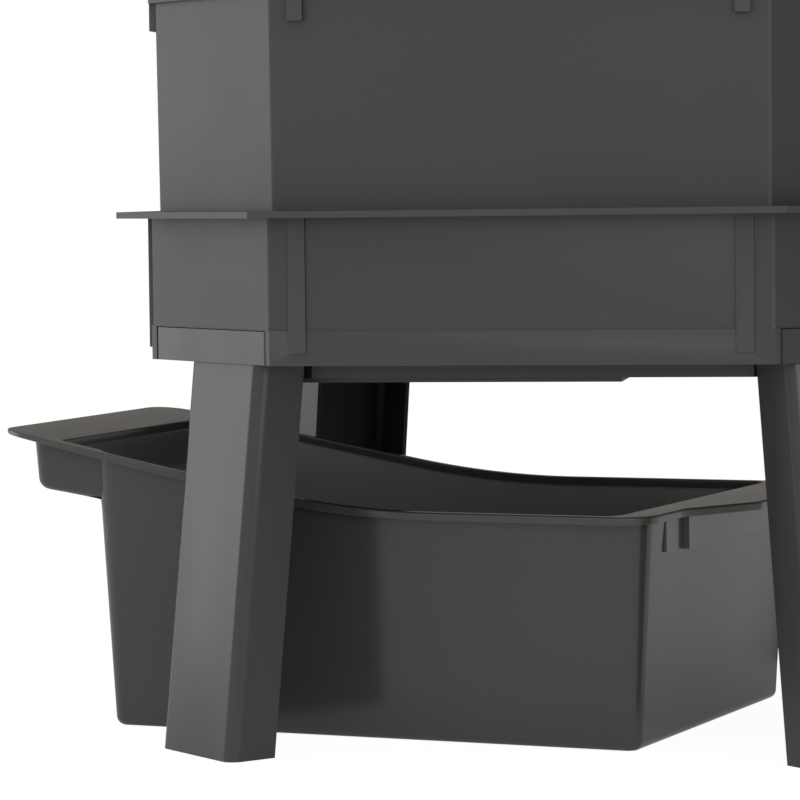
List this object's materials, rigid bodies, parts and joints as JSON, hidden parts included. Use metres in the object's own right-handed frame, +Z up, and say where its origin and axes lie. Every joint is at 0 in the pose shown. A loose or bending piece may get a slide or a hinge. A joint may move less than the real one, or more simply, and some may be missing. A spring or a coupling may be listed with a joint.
{
  "type": "wormery",
  "caption": "Square wormery with chamfered corners: stacked worm trays on a drained sump with four splayed legs, vented lid, and a loose collecting tray below.",
  "frame": {"origin": "on the ground, under the centre of the whole object's bounding box, the collecting tray's grip included", "axes": "+Z up, -Y towards the viewer's side, where two legs and the flat front show, -X towards the side that the collecting tray is drawn out of"},
  "size_m": [0.4856, 0.4118, 0.7225],
  "materials": {
    "tub_plastic": "satin moulded polypropylene, anthracite",
    "leg_plastic": "semi-gloss moulded polypropylene, anthracite",
    "tank_plastic": "satin moulded polypropylene, anthracite",
    "insert_plastic": "plain moulded polypropylene, black"
  },
  "bodies": {
    "stand": {"base_sump": "tub_plastic", "leg_front_left": "leg_plastic", "leg_front_right": "leg_plastic", "leg_rear_right": "leg_plastic", "leg_rear_left": "leg_plastic", "drain_strainer": "insert_plastic", "worm_ladder": "insert_plastic"},
    "tray_lower": {"tray_lower": "tub_plastic"},
    "tray_middle": {"tray_middle": "tub_plastic"},
    "tray_upper": {"tray_upper": "tub_plastic"},
    "lid": {"lid": "tub_plastic"},
    "collecting_tray": {"collecting_tray": "tank_plastic"}
  },
  "joints": [
    {"name": "tray_lower_lift", "type": "slide", "parent": "stand", "child": "tray_lower", "axis": [0, 0, 1], "range_m": [0, 0.2]},
    {"name": "tray_middle_lift", "type": "slide", "parent": "tray_lower", "child": "tray_middle", "axis": [0, 0, 1], "range_m": [0, 0.2]},
    {"name": "tray_upper_lift", "type": "slide", "parent": "tray_middle", "child": "tray_upper", "axis": [0, 0, 1], "range_m": [0, 0.2]},
    {"name": "lid_lift", "type": "slide", "parent": "tray_upper", "child": "lid", "axis": [0, 0, 1], "range_m": [0, 0.25]},
    {"name": "collecting_tray_slide", "type": "slide", "parent": "stand", "child": "collecting_tray", "axis": [-0.9738, 0.2275, 0], "range_m": [0, 0.3]}
  ]
}
